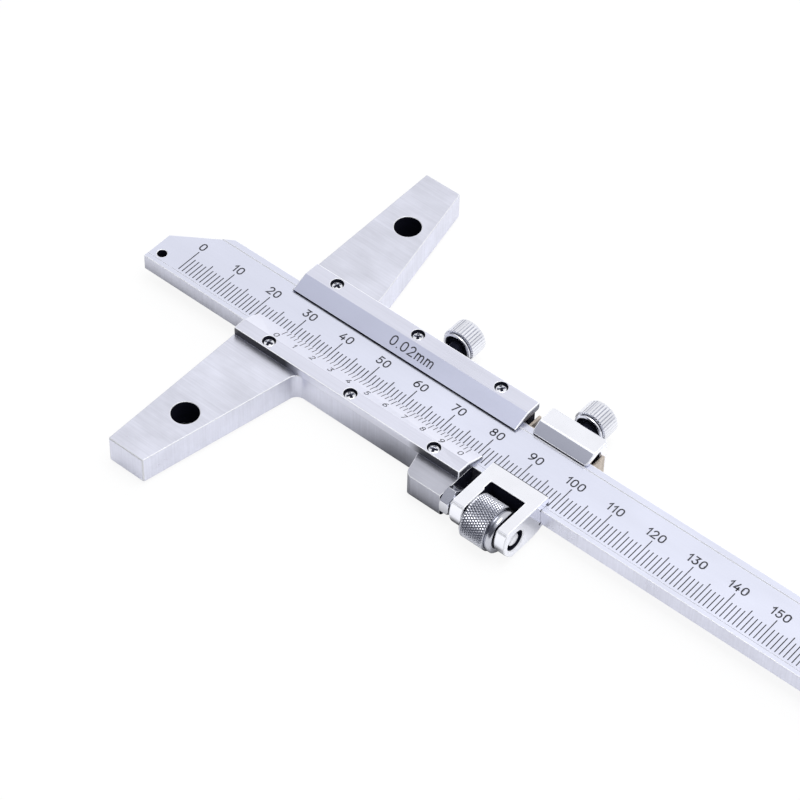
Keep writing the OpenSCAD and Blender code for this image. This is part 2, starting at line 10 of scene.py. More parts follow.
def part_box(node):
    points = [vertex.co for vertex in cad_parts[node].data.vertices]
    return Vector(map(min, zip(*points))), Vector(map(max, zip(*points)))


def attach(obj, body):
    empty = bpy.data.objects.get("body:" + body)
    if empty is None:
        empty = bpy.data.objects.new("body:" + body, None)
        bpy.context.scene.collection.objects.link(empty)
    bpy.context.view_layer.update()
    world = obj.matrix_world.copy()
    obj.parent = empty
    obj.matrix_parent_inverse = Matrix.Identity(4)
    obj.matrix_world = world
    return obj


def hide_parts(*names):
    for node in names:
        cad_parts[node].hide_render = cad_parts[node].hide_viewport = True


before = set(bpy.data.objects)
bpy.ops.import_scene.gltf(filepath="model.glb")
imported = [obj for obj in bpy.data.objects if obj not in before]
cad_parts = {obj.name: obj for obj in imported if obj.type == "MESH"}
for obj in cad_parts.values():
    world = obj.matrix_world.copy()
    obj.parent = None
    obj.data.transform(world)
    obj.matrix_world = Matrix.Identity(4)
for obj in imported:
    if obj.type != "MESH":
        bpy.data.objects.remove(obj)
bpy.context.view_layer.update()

bl_info = {
    "name": "Vernier depth gauge finish",
    "version": (1, 0, 0),
    "blender": (4, 5, 0),
    "location": "3D View > Sidebar > Depth Gauge",
    "description": "Bevels, scales, knurls, threads, finishes and a white studio for the packed depth gauge",
    "category": "Object",
}

MM = 0.001
VERNIER_SCREWS = [f"vernier_plate_screw_{i}" for i in (1, 2, 3)]
GUIDE_SCREWS = [f"guide_plate_screw_{i}" for i in (1, 2, 3)]
# How far the cross of each of these screws is turned, in degrees.
SCREW_TURNS = (10.0, 62.0, 18.0, 75.0, 33.0, 50.0)
# The middle and radius of the two holes through the base's arms, in millimetres.
BASE_HOLES = [(7.1, side * 35.0, 3.0) for side in (-1, 1)]


def colour_property(name, description, default):
    return bpy.props.FloatVectorProperty(
        name=name, description=description, default=default, size=3, min=0.0, max=1.0, subtype="COLOR")


def size_property(name, description, default):
    """A length in millimetres."""
    return bpy.props.FloatProperty(name=name, description=description, default=default, min=0.0)


def share_property(name, description, default):
    return bpy.props.FloatProperty(
        name=name, description=description, default=default, min=0.0, max=4.0, subtype="FACTOR")


def offset_property(name, description, default):
    """A length in millimetres that may be negative."""
    return bpy.props.FloatProperty(name=name, description=description, default=default)


def angle_property(name, description, degrees):
    return bpy.props.FloatProperty(
        name=name, description=description, default=math.radians(degrees), subtype="ANGLE")


def count_property(name, description, default):
    return bpy.props.IntProperty(name=name, description=description, default=default, min=1)


class GaugeScales(bpy.types.PropertyGroup):
    """Sizes of the engraved scales, in millimetres."""

    zero_from_tip: size_property("Zero from tip", "From the beam's tip to the main scale's zero", 8.19)
    main_span: count_property("Main span", "Last millimetre of the main scale", 200)
    foot_y: size_property("Foot", "From the beam's lower edge to the feet of the graduations", 1.84)
    short_mark: size_property("Short mark", "Length of a 1 mm graduation", 4.3)
    middle_mark: size_property("Middle mark", "Length of a 5 mm graduation", 5.3)
    long_mark: size_property("Long mark", "Length of a 10 mm graduation", 6.5)
    mark_width: size_property("Mark width", "Width of a graduation", 0.22)
    numeral_height: size_property("Numeral height", "Height of a main numeral, between stroke middles", 1.84)
    numeral_foot_y: size_property("Numeral foot", "From the beam's lower edge to the numerals", 9.04)
    numeral_gap: share_property("Numeral gap", "Gap between two numerals, as a share of their height", 0.35)
    numeral_shift: offset_property("Numeral shift", "From a graduation to the middle of its numerals", -0.25)
    numeral_stroke: size_property("Numeral stroke", "Width of a numeral's stroke", 0.31)
    vernier_zero_x: size_property("Vernier zero", "From the measuring face to the vernier's zero", 8.18)
    vernier_mark: size_property("Vernier mark", "Length of a vernier graduation", 1.6)
    vernier_long_mark: size_property("Vernier long mark", "Length of a numbered vernier graduation", 2.1)
    vernier_mark_width: size_property("Vernier mark width", "Width of a vernier graduation", 0.15)
    vernier_numeral: size_property("Vernier numeral", "Height of its numerals, between stroke middles", 1.4)
    vernier_foot: size_property("Vernier foot", "From the bevel's upper edge to the vernier's numerals", 0.75)
    vernier_shift: offset_property("Vernier shift", "From a graduation to its numeral's middle", -0.45)
    vernier_stroke: size_property("Vernier stroke", "Width of a vernier numeral's stroke", 0.19)
    value_x: size_property("Value place", "From the measuring face to the graduation value", 26.2)
    value_foot: size_property("Value foot", "From the guide plate's thin edge to the graduation value", 1.3)
    value_gap: share_property("Value gap", "Gap between its characters, as a share of their height", 0.37)
    value_height: size_property("Value height", "Height of the graduation value on the guide plate", 2.05)
    value_stroke: size_property("Value stroke", "Width of that value's strokes", 0.29)


class GaugeDetails(bpy.types.PropertyGroup):
    """Sizes of broken edges, knurls and threads, in millimetres."""

    base_edge: size_property("Base edge", "Broken edge of the base and slider", 0.14)
    beam_edge: size_property("Beam edge", "Broken edge of the beam", 0.13)
    plate_edge: size_property("Plate edge", "Broken edge of the two plates", 0.24)
    seat_edge: size_property("Seat edge", "Broken edge round a screw's seat", 0.09)
    carriage_edge: size_property("Carriage edge", "Polished edge of the carriage", 0.22)
    nose_round: size_property("Nose round", "Round between the yoke's nose and its top", 0.8)
    small_edge: size_property("Small edge", "Broken edge of nuts, screws and gibs", 0.07)
    diamond_count: count_property("Diamonds", "Diamonds round the fine-adjust nut", 52)
    diamond_depth: size_property("Diamond depth", "Depth of the nut's diamond knurl", 0.19)
    ridge_count: count_property("Ridges", "Ridges round a thumb screw's head", 34)
    ridge_depth: size_property("Ridge depth", "Depth of a thumb screw's straight knurl", 0.25)
    fine_pitch: size_property("Fine pitch", "Pitch of the M3 threads", 0.5)
    hole_ring: count_property("Hole ring", "Cuts in each facet of a round hole's rim", 3)


class GaugeFinishes(bpy.types.PropertyGroup):
    """Colours of the finishes."""

    ground: colour_property("Ground steel", "Base bar and slider", (0.66, 0.67, 0.76))
    satin: colour_property("Satin chrome", "Beam's scale face", (0.70, 0.72, 0.84))
    plate_satin: colour_property("Plate satin", "Vernier plate's scale bevel", (0.86, 0.87, 0.97))
    brushed: colour_property("Brushed steel", "Flats of the plates", (0.68, 0.69, 0.79))
    guide: colour_property("Guide bevel", "Guide plate's bevel", (0.58, 0.60, 0.73))
    polished: colour_property("Polished steel", "Nuts, screws, studs and heads", (0.80, 0.81, 0.86))
    chrome: colour_property("Mirror chrome", "Carriage", (0.88, 0.89, 0.95))
    knurled: colour_property("Knurled steel", "Fine-adjust nut", (0.55, 0.56, 0.61))
    # Painted shade: the dark bottoms of the knurls.
    groove: colour_property("Knurl groove", "Bottoms of the knurls", (0.22, 0.23, 0.28))
    bronze: colour_property("Bronze", "Gibs", (0.50, 0.44, 0.38))
    # Painted shade: the near-black of holes, recesses and other faces in shade.
    bore: colour_property("Bore", "Inside of the drilled holes and recesses", (0.012, 0.013, 0.024))
    sawn: colour_property("Plate end", "Ends of the two plates", (0.30, 0.31, 0.36))
    # Painted highlight: the near-white given to broken edges so that they look lit.
    edge: colour_property("Broken edge", "Bright broken edges", (0.93, 0.94, 0.98))
    fill: colour_property("Black fill", "Engraved lines and numerals", (0.012, 0.013, 0.022))


class GaugeStudio(bpy.types.PropertyGroup):
    """The camera, which stands where the photograph was taken from, and the light."""

    eye: bpy.props.FloatVectorProperty(
        name="Eye", description="The camera's place, in metres", default=(0.30594, -0.33601, 0.48281),
        size=3, subtype="TRANSLATION")
    tilt: angle_property("Tilt", "The camera's turn up from straight down", 41.603)
    heading: angle_property("Heading", "The camera's turn about +Z", 38.884)
    roll: angle_property("Roll", "The camera's turn about its own axis", 1.541)
    lens: bpy.props.FloatProperty(name="Lens", description="Focal length on a 36 mm sensor", default=142.55)
    shift: bpy.props.FloatVectorProperty(
        name="Shift", description="Sideways and upward shift of the frame", default=(-0.00231, 0.00018),
        size=2)
    backdrop: share_property("Backdrop", "Brightness of the white that the camera sees", 1.0)
    bright: share_property("Bright side", "Light from behind and above the gauge", 1.0)
    dim: share_property("Dim side", "Light from the camera's side", 0.12)
    floor_glow: share_property("Floor glow", "Share of the white in what metal mirrors of the floor", 0.3)
    lamp_watts: bpy.props.FloatProperty(name="Lamp", description="Power of the soft lamp", default=3.2)


def scales():
    return bpy.context.scene.gauge_scales


def details():
    return bpy.context.scene.gauge_details


def finishes():
    return bpy.context.scene.gauge_finishes


def add_node(tree, kind, **values):
    """A shader node with its settings, and with its input sockets set or linked by name."""
    node = tree.nodes.new("ShaderNode" + kind)
    for key, value in values.items():
        if key not in node.inputs:
            setattr(node, key, value)
        elif isinstance(value, bpy.types.NodeSocket):
            tree.links.new(value, node.inputs[key])
        else:
            node.inputs[key].default_value = value
    return node


def new_finish(name, colour, metallic, roughness):
    """A material with a plain metal shader: (material, tree, shader)."""
    material = bpy.data.materials.new(name)
    material.use_nodes = True
    material.diffuse_color = (*colour, 1.0)
    tree = material.node_tree
    shader = tree.nodes["Principled BSDF"]
    shader.inputs["Base Color"].default_value = (*colour, 1.0)
    shader.inputs["Metallic"].default_value = metallic
    shader.inputs["Roughness"].default_value = roughness
    return material, tree, shader


def grain(tree, stretch, detail=3.0):
    """Noise on the object's own coordinates; stretch is the grain's density per metre along X, Y and Z."""
    place = add_node(tree, "TexCoord").outputs["Object"]
    mapped = add_node(tree, "Mapping", Scale=stretch, Vector=place).outputs["Vector"]
    noise = add_node(tree, "TexNoise", Scale=1.0, Detail=detail, Roughness=0.6, Vector=mapped)
    return noise.outputs["Fac"]


def ranged(tree, source, low, high, start=0.3, end=0.7):
    """source, between start and end, spread over low to high."""
    limits = {"From Min": start, "From Max": end, "To Min": low, "To Max": high}
    return add_node(tree, "MapRange", Value=source, **limits).outputs["Result"]


def arithmetic(tree, operation, first, *others):
    """A maths operation on sockets or numbers, from left to right."""
    for other in others:
        node = add_node(tree, "Math", operation=operation)
        for socket, value in zip(node.inputs, (first, other)):
            if isinstance(value, (int, float)):
                socket.default_value = value
            else:
                tree.links.new(value, socket)
        first = node.outputs["Value"]
    return first


def coordinates(tree, place=None):
    """The X, Y and Z of a place, or of the shaded point in its object's own coordinates."""
    if place is None:
        place = add_node(tree, "TexCoord").outputs["Object"]
    return add_node(tree, "SeparateXYZ", Vector=place).outputs


def tint(tree, shader, colour, strength):
    """Multiplies a colour by strength, a socket near 1, and gives it to the shader."""
    scaled = add_node(tree, "VectorMath", operation="SCALE", Scale=strength)
    scaled.inputs[0].default_value = colour
    tree.links.new(scaled.outputs["Vector"], shader.inputs["Base Color"])


def bump(tree, shader, height, depth_mm):
    node = add_node(tree, "Bump", Strength=1.0, Distance=depth_mm * MM, Height=height)
    tree.links.new(node.outputs["Normal"], shader.inputs["Normal"])


def flatness(tree):
    """1 on faces that look up or down, 0 on upright ones."""
    upward = coordinates(tree, add_node(tree, "NewGeometry").outputs["Normal"])[2]
    return ranged(tree, arithmetic(tree, "ABSOLUTE", upward, 0.0), 0.0, 1.0, 0.5, 0.8)


def blended(tree, share, low, high):
    """low where share is 0 and high where it is 1; they are sockets or numbers."""
    return add_node(tree, "Mix", data_type="FLOAT", Factor=share, A=low, B=high).outputs["Result"]


def ground_steel():
    """Ground flats with a fine lengthwise grain and clouds, and upright faces with cutter marks.
    The rod's lug is darker by painted shade, and upright faces are a little lighter by painted light."""
    # Painted shade: dull is the tone of the shade painted on the rod's lug.
    lug_start, lug_side, dull = 0.044, -0.0125, 0.68
    colour = finishes().ground
    material, tree, shader = new_finish("ground_steel", colour, 1.0, 0.3)
    x, y = coordinates(tree)[:2]
    before_lug = ranged(tree, x, 1.0, dull, lug_start, lug_start + 0.0005)
    beside_lug = ranged(tree, y, dull, 1.0, lug_side - 0.0001, lug_side + 0.0001)
    lug = arithmetic(tree, "MAXIMUM", before_lug, beside_lug)
    lines = blended(tree, flatness(tree), grain(tree, (1900, 1900, 90)), grain(tree, (60, 2600, 2600)))
    clouds = grain(tree, (90, 150, 150), 5.0)
    # Painted light: upright faces are painted 4% lighter.
    upright = ranged(tree, flatness(tree), 1.04, 1.0, 0.0, 1.0)
    tone = arithmetic(
        tree, "MULTIPLY", ranged(tree, lines, 0.95, 1.05), ranged(tree, clouds, 0.92, 1.08), upright, lug)
    tint(tree, shader, colour, tone)
    tree.links.new(ranged(tree, clouds, 0.26, 0.38), shader.inputs["Roughness"])
    bump(tree, shader, lines, 0.003)
    return material


def brushed_finish(name, colour, roughness, contrast, along=45, across=2400, depth_mm=0.0007):
    """A lengthwise brushed metal."""
    material, tree, shader = new_finish(name, colour, 1.0, roughness)
    lines = grain(tree, (along, across, across))
    clouds = grain(tree, (35, 90, 90), 2.0)
    tone = arithmetic(
        tree, "MULTIPLY", ranged(tree, lines, 1 - contrast, 1 + contrast), ranged(tree, clouds, 0.98, 1.02))
    tint(tree, shader, colour, tone)
    tree.links.new(ranged(tree, clouds, roughness - 0.03, roughness + 0.03), shader.inputs["Roughness"])
    if depth_mm:
        bump(tree, shader, lines, depth_mm)
    return material


def satin_finish(name, colour, roughness):
    """A fine bead-blasted and plated metal."""
    material, tree, shader = new_finish(name, colour, 1.0, roughness)
    specks = grain(tree, (9000, 9000, 9000), 2.0)
    clouds = grain(tree, (40, 90, 90), 3.0)
    tone = arithmetic(
        tree, "MULTIPLY", ranged(tree, specks, 0.985, 1.015), ranged(tree, clouds, 0.985, 1.015))
    tint(tree, shader, colour, tone)
    tree.links.new(ranged(tree, clouds, roughness - 0.03, roughness + 0.03), shader.inputs["Roughness"])
    bump(tree, shader, specks, 0.0006)
    return material


def mottled_finish(name, colour, metallic, roughness, stretch, detail, spread):
    """A finish whose tone varies by spread, with its shader and the socket of its grain."""
    material, tree, shader = new_finish(name, colour, metallic, roughness)
    spots = grain(tree, stretch, detail)
    tint(tree, shader, colour, ranged(tree, spots, 1 - spread, 1 + spread))
    return material, shader, spots


def polished_finish(name, colour, roughness, smear=0.04):
    """A bright plated metal with faint smears."""
    material, shader, smears = mottled_finish(name, colour, 1.0, roughness, (160, 160, 160), 4.0, 0.03)
    tree = material.node_tree
    tree.links.new(ranged(tree, smears, roughness, roughness + smear), shader.inputs["Roughness"])
    return material


def bronze_finish():
    """A dull rolled strip."""
    material, shader, streaks = mottled_finish(
        "gib_bronze", finishes().bronze, 0.85, 0.42, (900, 900, 120), 3.0, 0.15)
    bump(material.node_tree, shader, streaks, 0.004)
    return material


def edge_finish(name="edge_painted_highlight", level=1.0):
    """A painted highlight for broken edges: a near-white, barely metallic finish that looks lit from most
    sides.
    """
    colour = tuple(level * part for part in finishes().edge)
    return mottled_finish(name, colour, 0.2, 0.4, (160, 160, 160), 4.0, 0.03)[0]


def end_finish():
    """A darker, dull finish for the end of a plate."""
    return brushed_finish("plate_end_dark", finishes().sawn, 0.45, 0.1, along=2400, across=90)


def side_finish():
    """The vernier plate's outer side, painted light where it stands over the frame and painted shade where it
    stands over the base's arm and over the rod's lug.
    """
    arm_end, arm_shade_tone, lug_start, lug_shade_tone = 0.014, 0.08, 0.047, 0.15
    colour = finishes().plate_satin
    material, tree, shader = new_finish("plate_side_painted_light_and_shade", colour, 0.6, 0.4)
    x = coordinates(tree)[0]
    # Painted shade over the arm and over the lug; elsewhere the light plate_satin colour is painted light
    # from the white floor it mirrors.
    painted_shade_over_arm = ranged(tree, x, arm_shade_tone, 1.0, arm_end, arm_end + 0.005)
    painted_shade_over_lug = ranged(tree, x, 1.0, lug_shade_tone, lug_start, lug_start + 0.003)
    lines = ranged(tree, grain(tree, (45, 2400, 2400)), 0.96, 1.04)
    tint(tree, shader, colour, arithmetic(
        tree, "MULTIPLY", arithmetic(tree, "MINIMUM", painted_shade_over_arm, painted_shade_over_lug), lines))
    return material


def bore_finish():
    """Painted shade: a dull, near-black finish for the walls of holes and recesses and for other faces that
    lie in shade.
    """
    material, shader, _ = mottled_finish(
        "bore_painted_shade", finishes().bore, 0.0, 0.6, (300, 300, 4000), 2.0, 0.2)
    shader.inputs["Specular IOR Level"].default_value = 0.05
    return material


def fill_finish():
    """The black that fills the engraving."""
    return mottled_finish("scale_black", finishes().fill, 0.0, 0.55, (2500, 2500, 2500), 2.0, 0.3)[0]


def box_mm(node):
    """A CAD node's lowest and highest corners, in millimetres."""
    return [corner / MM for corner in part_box(node)]


def as_object(name, mesh):
    obj = bpy.data.objects.new(name, mesh)
    bpy.context.scene.collection.objects.link(obj)
    return obj


def as_mesh(name, bm):
    """A mesh from a bmesh, which is freed."""
    mesh = bpy.data.meshes.new(name)
    bm.to_mesh(mesh)
    bm.free()
    return mesh


def verts_of(parts):
    """The vertices among what a bmesh operator made."""
    return [part for part in parts if isinstance(part, bmesh.types.BMVert)]


def place_piece(obj, body, materials, replaced=()):
    """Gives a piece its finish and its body."""
    for material in materials:
        obj.data.materials.append(material)
    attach(obj, body)
    if replaced:
        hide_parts(*replaced)


def smooth(obj, corner_degrees):
    """Smooth shading that keeps corners sharper than the given angle, with flats that stay flat."""
    mesh = obj.data
    mesh.shade_smooth()
    mesh.set_sharp_from_angle(angle=math.radians(corner_degrees))
    weighted = obj.modifiers.new("even_normals", "WEIGHTED_NORMAL")
    weighted.keep_sharp = True
    weighted.weight = 90


def broken_edges(bm, offset_mm, segments, corner_degrees, chosen, edge_index):
    """Bevels the chosen edges that are sharper than corner_degrees; edge_index is the new faces' material."""
    limit = math.radians(corner_degrees)
    edges = [e for e in bm.edges if e.is_manifold and e.calc_face_angle() > limit and chosen(*line_mm(e))]
    bmesh.ops.bevel(
        bm, geom=edges, offset=offset_mm * MM, offset_type="OFFSET", segments=segments, profile=0.5,
        affect="EDGES", clamp_overlap=False, loop_slide=True, material=edge_index)


def line_mm(edge):
    """The middle of an edge, in millimetres, and its direction."""
    start, end = (v.co for v in edge.verts)
    return (start + end) / (2 * MM), (end - start).normalized()


def any_edge(middle, way):
    return True


def dressed_node(node, breaks, holes=()):
    """A copy of a CAD node with its doubles merged, its flats joined, its upright holes made rounder and
    its edges broken. breaks holds, for each round of edges, an offset in millimetres, a number of segments,
    a test that chooses the edges and the index of their material, or -1 to take the flats' own;
    holes holds the middle and radius of each hole, in millimetres."""
    bm = bmesh.new()
    bm.from_mesh(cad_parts[node].data)
    bmesh.ops.remove_doubles(bm, verts=bm.verts, dist=0.02 * MM)
    bmesh.ops.dissolve_limit(bm, angle_limit=math.radians(0.4), verts=bm.verts, edges=bm.edges)
    for x, y, radius in holes:
        rounder_hole(bm, x, y, radius)
    for offset_mm, segments, chosen, edge_index in breaks:
        broken_edges(bm, offset_mm, segments, 30.0, chosen, edge_index)
    obj = as_object(node + "_dressed", as_mesh(node + "_dressed", bm))
    smooth(obj, 20.0)
    return obj


def from_axis(point, x, y):
    """Distance of a point from an upright axis, all in millimetres."""
    return math.hypot(point.x - x, point.y - y)


def in_hole(point, holes, slack):
    """Whether a point lies in one of the holes, or within slack of it, all in millimetres."""
    return any(from_axis(point, x, y) < radius + slack for x, y, radius in holes)


def rounder_hole(bm, x, y, radius):
    """Cuts each facet of a hole's rim and moves the new corners out to the true circle."""
    slack = 0.02
    rim = [e for e in bm.edges if all(abs(from_axis(v.co / MM, x, y) - radius) < slack for v in e.verts)
           and abs(e.verts[0].co.z - e.verts[1].co.z) < slack * MM]
    made = bmesh.ops.subdivide_edges(bm, edges=rim, cuts=details().hole_ring, use_grid_fill=True)
    for v in verts_of(made["geom_inner"]):
        growth = radius / from_axis(v.co / MM, x, y)
        v.co.x = (x + (v.co.x / MM - x) * growth) * MM
        v.co.y = (y + (v.co.y / MM - y) * growth) * MM


def screw_seats(nodes, radius=1.47):
    """The middle and radius of the seat round each screw, in millimetres."""
    middles = [(low + high) / 2 for low, high in map(box_mm, nodes)]
    return [(middle.x, middle.y, radius) for middle in middles]


def give(obj, index, chosen, plain_only=False):
    """Gives faces another of the object's materials. chosen takes a face's normal and its middle in
    millimetres; with plain_only, faces that aren't of the first material are left out."""
    for face in obj.data.polygons:
        if (face.material_index == 0 or not plain_only) and chosen(face.normal, face.center / MM):
            face.material_index = index


def give_bores(obj, holes, index):
    """Gives the walls of upright holes another of the object's materials."""
    give(obj, index, lambda normal, at: abs(normal.z) < 0.1 and in_hole(at, holes, 0.02))


def give_nose(obj, y, index):
    """Gives the thin upright edge that faces -Y at y millimetres another of the object's materials."""
    give(obj, index, lambda normal, at: normal.y < -0.9 and abs(at.y - y) < 0.15)


def dressed_plate(node, screws, side, finish, nose_index):
    """A plate on the slider whose slope leans towards +Y or -Y, as side says. finish holds the materials of
    its flat, edges, slope, holes and ends; nose_index is the one of its upright side at the lowest Y."""
    low, high = box_mm(node)
    over_beam = high.y if side > 0 else low.y
    seats = screw_seats(screws)
    d = details()

    def rim(middle, way):
        return in_hole(middle, seats, 0.05)

    def thick(middle, way):
        return side * (over_beam - middle.y) > 0.05 and not rim(middle, way)

    # Painted highlight on the broken edges and seat rims; painted shade in the screws' seats.
    plate = dressed_node(node, [(d.plate_edge, 2, thick, 1), (d.seat_edge, 2, rim, 1)])
    place_piece(plate, "slider", finish, [node])
    give(plate, 2, lambda normal, at: side * normal.y > 0.2 and normal.z > 0.7, plain_only=True)
    # The thin nose takes painted shade on the guide plate and the painted side on the vernier plate.
    give_nose(plate, low.y, nose_index)
    give_bores(plate, seats, 3)
    give(plate, 4, lambda normal, at: abs(normal.x) > 0.9, plain_only=True)


def arc(x, y, rx, ry, start, end, steps=14):
    """Points along an ellipse's arc; the angles are in degrees."""
    turns = [math.radians(start + (end - start) * i / steps) for i in range(steps + 1)]
    return [(x + rx * math.cos(t), y + ry * math.sin(t)) for t in turns]


def numeral_strokes(mark):
    """The strokes of a character one unit high, and its width."""
    bowl = 0.3
    six = [arc(0.62, 0.33, 0.62, 0.67, 100, 180), arc(bowl, bowl, bowl, bowl, 0, 360, 22)]
    shapes = {
        "0": ([arc(bowl, 0.66, bowl, 0.34, 0, 180) + arc(bowl, 0.34, bowl, 0.34, 180, 360)
               + [(2 * bowl, 0.66)]], 0.6),
        "1": ([[(0.0, 0.74), (0.26, 1.0), (0.26, 0.0)]], 0.3),
        "2": ([arc(bowl, 0.71, 0.28, 0.29, 165, -35) + [(0.0, 0.0), (0.6, 0.0)]], 0.6),
        "3": ([[(0.05, 1.0), (0.55, 1.0), (0.27, 0.6)] + arc(0.28, 0.3, bowl, bowl, 85, -155)], 0.6),
        "4": ([[(0.36, 1.0), (0.0, 0.26), (0.62, 0.26)], [(0.46, 0.52), (0.46, 0.0)]], 0.62),
        "5": ([[(0.54, 1.0), (0.12, 1.0), (0.06, 0.52)] + arc(0.28, 0.32, 0.31, 0.32, 128, -150)], 0.6),
        "6": (six, 0.6),
        "7": ([[(0.02, 1.0), (0.58, 1.0), (0.2, 0.0)]], 0.6),
        "8": ([arc(bowl, 0.75, 0.245, 0.25, 0, 360, 20), arc(bowl, 0.27, bowl, 0.27, 0, 360, 22)], 0.6),
        "9": ([[(0.6 - x, 1.0 - y) for x, y in stroke] for stroke in six], 0.6),
        ".": ([[(0.0, 0.0), (0.03, 0.0)]], 0.03),
        "m": ([
            [(0.0, 0.0), (0.0, 0.7)],
            [(0.0, 0.44)] + arc(0.21, 0.46, 0.21, 0.22, 180, 0) + [(0.42, 0.0)],
            [(0.42, 0.44)] + arc(0.63, 0.46, 0.21, 0.22, 180, 0) + [(0.84, 0.0)],
        ], 0.84),
    }
    return shapes[mark]


def word_strokes(word, x, y, height, gap=0.2, centred=True):
    """All strokes of a word, in the plane of its face; x is its middle or its left end."""
    parts = [numeral_strokes(mark) for mark in word]
    width = sum(part[1] for part in parts) + gap * (len(parts) - 1)
    pen = x - width * height / 2 if centred else x
    strokes = []
    for lines, mark_width in parts:
        strokes += [[(pen + u * height, y + v * height) for u, v in line] for line in lines]
        pen += (mark_width + gap) * height
    return strokes


def ribbon(bm, stroke, width, overrun):
    """A flat band of an even width along a stroke; a stroke whose ends meet is closed."""
    closed = math.dist(stroke[0], stroke[-1]) < 1e-6
    points = [Vector(point) for point in (stroke[:-1] if closed else stroke)]
    if not closed:
        points[0] += (points[0] - points[1]).normalized() * overrun
        points[-1] += (points[-1] - points[-2]).normalized() * overrun
    ways = [(b - a).normalized() for a, b in zip(points, points[1:] + points[:1])]
    sides = []
    for i, point in enumerate(points):
        before = ways[i - 1] if closed or i > 0 else ways[0]
        after = ways[i] if closed or i < len(points) - 1 else ways[-2]
        way = (before + after).normalized()
        across = Vector((-way.y, way.x)) * width / 2 / max(0.5, way.dot(before))
        sides.append([bm.verts.new((*(point + across * side), 0.0)) for side in (1, -1)])
    for a, b in zip(sides, sides[1:] + (sides[:1] if closed else [])):
        bm.faces.new((a[0], a[1], b[1], b[0]))


def engraved(name, body, fill, strokes, width_mm, placing, overrun=0.0):
    """Filled strokes of an even width, drawn in millimetres in a plane that placing carries onto the part."""
    relief, depth = 0.015, 0.06
    bm = bmesh.new()
    for stroke in strokes:
        ribbon(bm, stroke, width_mm, overrun)
    made = bmesh.ops.extrude_face_region(bm, geom=bm.faces[:])
    bmesh.ops.translate(bm, verts=bm.verts, vec=(0, 0, relief))
    bmesh.ops.translate(bm, verts=verts_of(made["geom"]), vec=(0, 0, -depth))
    bmesh.ops.recalc_face_normals(bm, faces=bm.faces)
    mesh = as_mesh(name, bm)
    mesh.transform(placing @ Matrix.Scale(MM, 4))
    place_piece(as_object(name, mesh), body, [fill])


def face_plane(origin_mm, slope=0.0):
    """Carries a drawing plane to origin, with its height leaning by slope radians about +X."""
    return Matrix.Translation(Vector(origin_mm) * MM) @ Matrix.Rotation(slope, 4, "X")


def scale_strokes(first, last, step, low, length_of):
    """Straight marks from first to last, across the direction of the scale."""
    return [[(i * step, low(i)), (i * step, low(i) + length_of(i))] for i in range(first, last + 1)]


class DEPTHGAUGE_OT_base(bpy.types.Operator):
    """Finish the base bar and slider frame"""

    bl_idname = "depth_gauge.base"
    bl_label = "Base and slider"

    def execute(self, context):
        edge = details().base_edge
        high = box_mm("base_frame")[1]
        lug_side, end_depth = -12.3, 0.3

        def at_end(middle, way):
            return abs(abs(middle.y) - high.y) < 0.05

        def elsewhere(middle, way):
            return not at_end(middle, way)

        def shaded_end(normal, at):
            return at.x > high.x - end_depth and (normal.x > 0.9 or at.y > lug_side)

        # Painted highlight on the broken edges; painted shade in the two holes and on the frame's end faces
        # beside the lug.
        breaks = [(2 * edge, 3, at_end, 1), (edge, 2, elsewhere, 1)]
        base = dressed_node("base_frame", breaks, BASE_HOLES)
        finish = [ground_steel(), edge_finish("ground_edge_painted_highlight", 0.8), bore_finish()]
        place_piece(base, "slider", finish, ["base_frame"])
        give_bores(base, BASE_HOLES, 2)
        give(base, 2, shaded_end)
        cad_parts["slider_gib"].data.materials[0] = bronze_finish()
        return {"FINISHED"}


class DEPTHGAUGE_OT_beam(bpy.types.Operator):
    """Finish the beam and engrave its scale"""

    bl_idname = "depth_gauge.beam"
    bl_label = "Beam and main scale"

    def execute(self, context):
        s = scales()
        low, high = box_mm("beam")
        lip = 0.1
        satin = brushed_finish("satin_scale_steel", finishes().satin, 0.3, 0.008, depth_mm=0.0)
        hang_hole = (low.x + 2.5, low.y + 2.95, 1.1)
        # Painted highlight on the broken edges; painted shade in the hang hole.
        beam = dressed_node("beam", [(details().beam_edge, 2, any_edge, 1)], [hang_hole])
        finish = [satin, edge_finish(), bore_finish(), ground_steel()]
        place_piece(beam, "beam", finish, ["beam"])
        give(beam, 3, lambda normal, at: abs(normal.z) < 0.1, plain_only=True)
        give_bores(beam, [hang_hole], 2)
        fill = fill_finish()
        plane = face_plane((low.x + s.zero_from_tip, low.y, high.z - lip))

        def mark_length(i):
            return s.long_mark if i % 10 == 0 else s.middle_mark if i % 5 == 0 else s.short_mark

        marks = scale_strokes(0, s.main_span, 1.0, lambda i: s.foot_y, mark_length)
        engraved("beam_graduations", "beam", fill, marks, s.mark_width, plane)
        numerals = []
        for i in range(0, s.main_span + 1, 10):
            numerals += word_strokes(
                str(i), i + s.numeral_shift, s.numeral_foot_y, s.numeral_height, s.numeral_gap)
        pen = s.numeral_stroke
        engraved("beam_numerals", "beam", fill, numerals, pen, plane, pen * 0.4)
        return {"FINISHED"}


